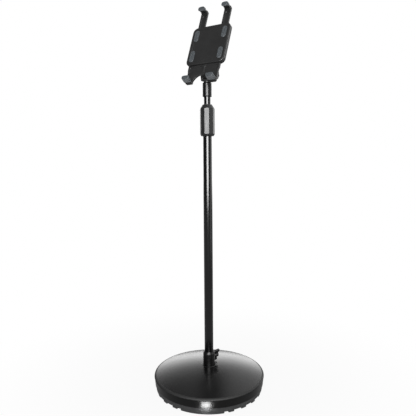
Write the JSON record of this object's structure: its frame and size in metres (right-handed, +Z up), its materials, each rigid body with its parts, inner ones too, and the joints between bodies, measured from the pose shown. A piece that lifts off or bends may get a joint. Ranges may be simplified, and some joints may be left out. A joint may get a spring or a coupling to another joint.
{
  "type": "tablet floor stand",
  "caption": "Floor stand for a tablet: weighted round base, telescopic pole with twist clutch, tilting and turning spring-free holder with a sliding upper jaw.",
  "frame": {"origin": "on the floor, under the middle of the round base", "axes": "+Z up along the pole; the holder faces -Y, tilted back 23 degrees at rest; +X to the holder's left as seen by it, the picture's right"},
  "size_m": [0.268, 0.268, 0.9224],
  "materials": {
    "base_cover_plastic": "satin black moulded dome with broad soft reflections",
    "base_tray_plastic": "fine-grained black moulded side wall",
    "cast_weight": "as-cast, oiled",
    "black_steel": "gloss black powder coat",
    "socket_metal": "satin black coat on turned steel",
    "plated_steel": "bright zinc plate",
    "black_screw": "black oxide",
    "clutch_plastic": "dark grey glass-filled nylon, faceted",
    "collet_plastic": "natural acetal",
    "nylon": "black nylon washer",
    "brass": "turned brass",
    "cast_arm": "satin black coat on die casting",
    "holder_plastic": "black moulded plastic, fine spark texture",
    "knob_plastic": "black moulded knob",
    "grey_rubber": "slate grey rubber",
    "foot_rubber": "black rubber"
  },
  "bodies": {
    "base": {"base_cover": "base_cover_plastic", "base_tray": "base_tray_plastic", "foot_pads": "foot_rubber", "cover_screws": "plated_steel", "ballast": "cast_weight", "pole_socket": "socket_metal", "socket_bolt": "plated_steel", "socket_washer": "plated_steel", "lower_tube": "black_steel", "clutch_base": "clutch_plastic", "clutch_collet": "collet_plastic"},
    "clamp": {"clamp_pad": "brass"},
    "wing": {"wing_stud": "plated_steel", "wing_screw": "knob_plastic"},
    "clutch": {"clutch_grip": "clutch_plastic"},
    "pole": {"upper_tube": "black_steel", "tube_guide": "collet_plastic", "neck_sleeve": "socket_metal", "sleeve_grub_screw": "black_screw"},
    "swivel": {"swivel_clevis": "cast_arm", "swivel_washer": "nylon", "swivel_retainer": "plated_steel", "swivel_screw": "plated_steel", "tilt_bolt": "black_screw", "knob_washer": "plated_steel"},
    "knob": {"tilt_knob": "knob_plastic", "tilt_knob_insert": "brass"},
    "head": {"tilt_arm": "cast_arm", "friction_washers": "nylon", "hub_bolt": "plated_steel", "hub_washer": "nylon", "hub_nut": "plated_steel", "hub_cap": "knob_plastic"},
    "holder": {"holder_front": "holder_plastic", "holder_rear": "holder_plastic", "holder_screws": "black_screw", "lower_jaw_screws": "black_screw", "back_pads": "grey_rubber", "lower_jaw": "holder_plastic", "lower_boots": "grey_rubber", "lock_shoe": "brass"},
    "jaw": {"upper_jaw": "holder_plastic", "upper_boots": "grey_rubber"},
    "lock": {"lock_stud": "plated_steel", "lock_knob": "knob_plastic"}
  },
  "joints": [
    {"name": "clamp_travel", "type": "slide", "parent": "base", "child": "clamp", "axis": [0.309, 0.9511, 0], "range_m": [0, 0.001]},
    {"name": "wing_turn", "type": "hinge", "parent": "clamp", "child": "wing", "pos_m": [0, 0, 0.074], "axis": [0.309, 0.9511, 0], "range_deg": [0, 360]},
    {"name": "clutch_twist", "type": "hinge", "parent": "base", "child": "clutch", "pos_m": [0, 0, 0.65], "axis": [0, 0, 1], "range_deg": [0, 180]},
    {"name": "pole_slide", "type": "slide", "parent": "base", "child": "pole", "axis": [0, 0, 1], "range_m": [-0.018, 0.38]},
    {"name": "head_swivel", "type": "hinge", "parent": "pole", "child": "swivel", "pos_m": [0, 0, 0.737], "axis": [0, 0, 1], "continuous": true},
    {"name": "head_tilt", "type": "hinge", "parent": "swivel", "child": "head", "pos_m": [0, 0, 0.753], "axis": [1, 0, 0], "range_deg": [-67, 23]},
    {"name": "tilt_knob_turn", "type": "hinge", "parent": "swivel", "child": "knob", "pos_m": [0, 0, 0.753], "axis": [1, 0, 0], "range_deg": [0, 270]},
    {"name": "holder_turn", "type": "hinge", "parent": "head", "child": "holder", "pos_m": [0, -0.005, 0.829], "axis": [0, -0.9205, 0.3907], "range_deg": [-90, 90]},
    {"name": "jaw_slide", "type": "slide", "parent": "holder", "child": "jaw", "axis": [0, 0.3907, 0.9205], "range_m": [-0.034, 0.014]},
    {"name": "lock_turn", "type": "hinge", "parent": "holder", "child": "lock", "pos_m": [0.0315, 0.03023, 0.85315], "axis": [0, 0.9205, -0.3907], "range_deg": [0, 270]}
  ],
  "couplings": [
    {"joint": "clamp_travel", "follows": "wing_turn", "m_per_rad": 0.00015915}
  ]
}
